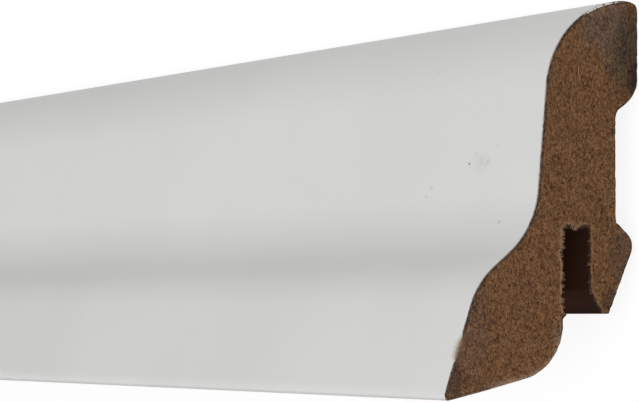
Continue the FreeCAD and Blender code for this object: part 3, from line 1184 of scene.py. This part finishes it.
def fibre_finishes(groups):
    """The finishes of the short fibres at each end, of the fuzz and of the long fibres."""
    return {
        RIGHT_END: fibre_finish("handled and shaded fibres", groups, DARK_BROWN, PALE_BROWN, handled_and_shaded=True),
        LEFT_END: fibre_finish("loose fibres", groups, DARK_BROWN, PALE_BROWN),
        "fuzz": fibre_finish("pale fibres", groups, colour(56, 38, 27), colour(166, 138, 116)),
        "long": fibre_finish("long fibres", groups, colour(92, 64, 45), colour(166, 130, 103), handled_and_shaded=True),
    }


# The floor, the lights and the camera, with their places and sizes in metres

WHITE = (1.0, 1.0, 1.0, 1.0)
FLOOR_SIZE = 10.0
FLOOR_TONE = (0.8, 0.8, 0.8, 1.0)
FLOOR_TONE_IN_SIGHT = (0.16, 0.16, 0.16, 1.0)
FLOOR_GLOW_IN_SIGHT = 0.88
WORLD_LIGHT = 0.5
CEILING_PLACE = (0.0, -0.85, 2.2)
CEILING_SIZE = (4.0, 2.4)
CEILING_POWER = 17.5
END_LIGHT_OFFSET = (0.55, -0.06, 0.45)  # out past the sawn end, towards the toe's side, and up
END_LIGHT_SIZE = (0.5, 0.5)
END_LIGHT_POWER = 3.2
CAMERA_PLACE = Vector((1.48211, -0.01202, 0.17507))
CAMERA_DOWN = 26.284  # degrees that it looks down towards the floor
CAMERA_ASIDE = 2.055  # degrees that it looks aside, towards the top edge of the board
CAMERA_LENS = 185.35
CAMERA_RANGE = (0.01, 20.0)
SENSOR = 36.0


def seen_directly(tree):
    """1 for what the camera sees, itself or in a reflection or through glass, and 0 for light on things."""
    path = add(tree, "ShaderNodeLightPath").outputs
    seen = maths(tree, "MAXIMUM", path["Is Camera Ray"], path["Is Glossy Ray"])
    return maths(tree, "MAXIMUM", seen, path["Is Transmission Ray"])


def floor_material():
    """A plain white floor. Seen by the camera it is white, but it keeps a soft shadow of the board."""
    made, tree, shader, _ = new_material("white floor")
    seen = seen_directly(tree)
    tone = blended(tree, seen, FLOOR_TONE, FLOOR_TONE_IN_SIGHT)
    painted(tree, shader, tone, roughness=0.9, gloss=0.0)
    connect(tree, WHITE, shader.inputs["Emission Color"])
    connect(tree, times(tree, seen, FLOOR_GLOW_IN_SIGHT), shader.inputs["Emission Strength"])
    return made


def lay_floor():
    mesh = bpy.data.meshes.new("floor")
    half = FLOOR_SIZE / 2
    corners = [(-half, -half, 0), (half, -half, 0), (half, half, 0), (-half, half, 0)]
    mesh.from_pydata(corners, [], [(0, 1, 2, 3)])
    mesh.materials.append(floor_material())
    new_object("floor", mesh)


def light_world():
    """Even white light from all round. What shows past the floor is white."""
    world = bpy.data.worlds.new("studio")
    world.use_nodes = True
    tree = world.node_tree
    tree.nodes.clear()
    strength = maths(tree, "ADD", times(tree, seen_directly(tree), 1.0 - WORLD_LIGHT), WORLD_LIGHT)
    shade = add(tree, "ShaderNodeBackground", {"Color": WHITE, "Strength": strength}).outputs[0]
    connect(tree, shade, tree.nodes.new("ShaderNodeOutputWorld").inputs["Surface"])
    bpy.context.scene.world = world


def soft_light(name, place, aim, size, power):
    data = bpy.data.lights.new(name, "AREA")
    data.shape = "RECTANGLE"
    data.size, data.size_y = size
    data.energy = power
    lamp = new_object(name, data)
    lamp.location = place
    lamp.rotation_euler = (Vector(aim) - Vector(place)).to_track_quat("-Z", "Y").to_euler()


def light_board():
    """Even light from all round, a broad light overhead, and one past each end."""
    light_world()
    soft_light("ceiling_softbox", CEILING_PLACE, (0.0, 0.0, 0.0), CEILING_SIZE, CEILING_POWER)
    away, aside, above = END_LIGHT_OFFSET
    for end, side in ENDS:
        place = (end * (LENGTH / 2 * MM + away), aside, above)
        aim = (end * LENGTH / 2 * MM, 0.0, 0.0)
        soft_light(f"{side}_end_softbox", place, aim, END_LIGHT_SIZE, END_LIGHT_POWER)


def place_camera():
    """The camera looks down along the board at its sawn end, with the height upright in the picture."""
    down, aside = math.radians(CAMERA_DOWN), math.radians(CAMERA_ASIDE)
    forward = Vector((-math.cos(down) * math.cos(aside), math.sin(aside), -math.sin(down) * math.cos(aside)))
    right = Vector((math.sin(down), 0.0, -math.cos(down)))
    up = right.cross(forward)
    turned = Matrix((right, up, -forward)).transposed().to_4x4()
    data = bpy.data.cameras.new("camera")
    data.lens, data.sensor_width = CAMERA_LENS, SENSOR
    data.clip_start, data.clip_end = CAMERA_RANGE
    camera = new_object("camera", data)
    camera.matrix_world = Matrix.Translation(CAMERA_PLACE) @ turned
    bpy.context.scene.camera = camera


def main():
    front = front_corners()
    outline = rounded([*front, *back_corners(toe=front[-1])])
    ring = joined([stretch for pair in outline for stretch in pair])
    groups = {"mottle": mottle_group(), "patch": soft_patch_group()}
    for_core = core_finishes(groups)
    for_foil = foil_finishes(groups)
    for_fibres = fibre_finishes(groups)

    marks = edge_marks(ring, outline)
    sawn = sawn_section(ring, marks["frayed"])
    core_piece(ring, sawn, marks, for_core)
    foil_piece(foil_path(outline[: len(front)]), for_foil)
    grow_fibres(ring, sawn, fuzz_share(ring, marks), for_fibres)

    lay_floor()
    light_board()
    place_camera()
    bpy.context.scene.view_settings.view_transform = "Standard"


main()
